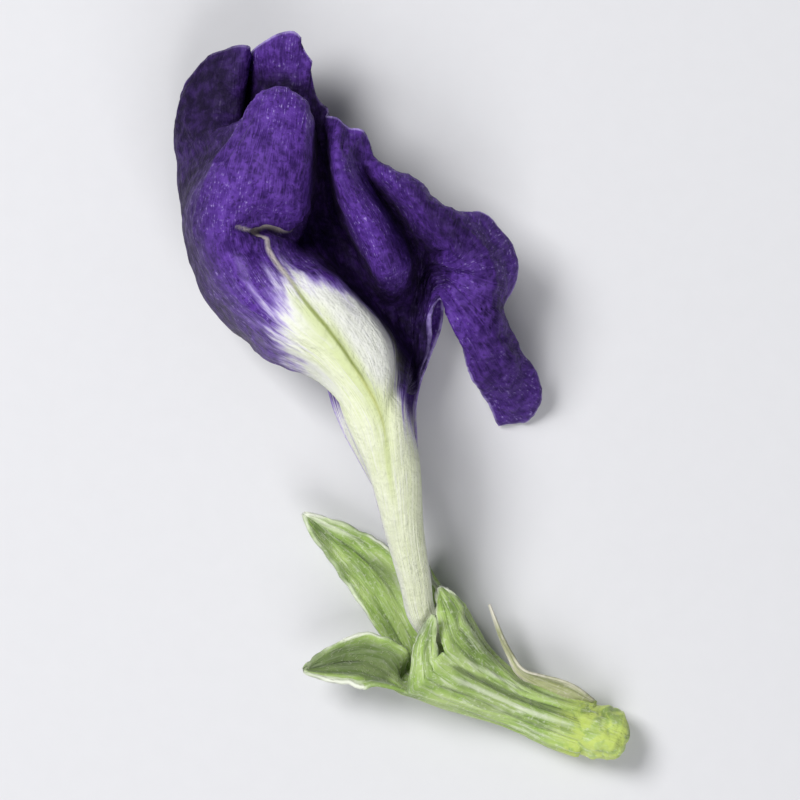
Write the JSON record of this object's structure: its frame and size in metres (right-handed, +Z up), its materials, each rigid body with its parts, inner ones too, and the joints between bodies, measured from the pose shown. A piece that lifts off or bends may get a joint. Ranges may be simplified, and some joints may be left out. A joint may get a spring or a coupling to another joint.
{
  "type": "dried butterfly pea flower",
  "caption": "Dried violet pea flower lying on its side: a crumpled banner petal on a pale claw over two wings, a keel and stamens, in a green calyx with five pointed sepals.",
  "frame": {"origin": "on the surface the flower lies on, under the middle of its bounding box", "axes": "+Z up from that surface; +Y along the flower, towards the banner's far edge; +X to its right, as seen from above"},
  "size_m": [0.0252, 0.0402, 0.0113],
  "materials": {
    "stalk": "matt, dry, knobbly plant tissue",
    "calyx": "matt dry leaf with long veins and pale edges",
    "petal": "matt dry petal with a faint sheen, pale at the claw",
    "keel": "matt dry petal",
    "stamen": "matt dry filaments",
    "pistil": "matt dry plant tissue with a short beard"
  },
  "bodies": {
    "root": {"pedicel": "stalk", "calyx": "calyx", "bracteole": "calyx", "banner": "petal", "wing_left": "petal", "wing_right": "petal", "keel": "keel", "stamens": "stamen", "free_stamen": "stamen", "pistil": "pistil"}
  },
  "joints": []
}
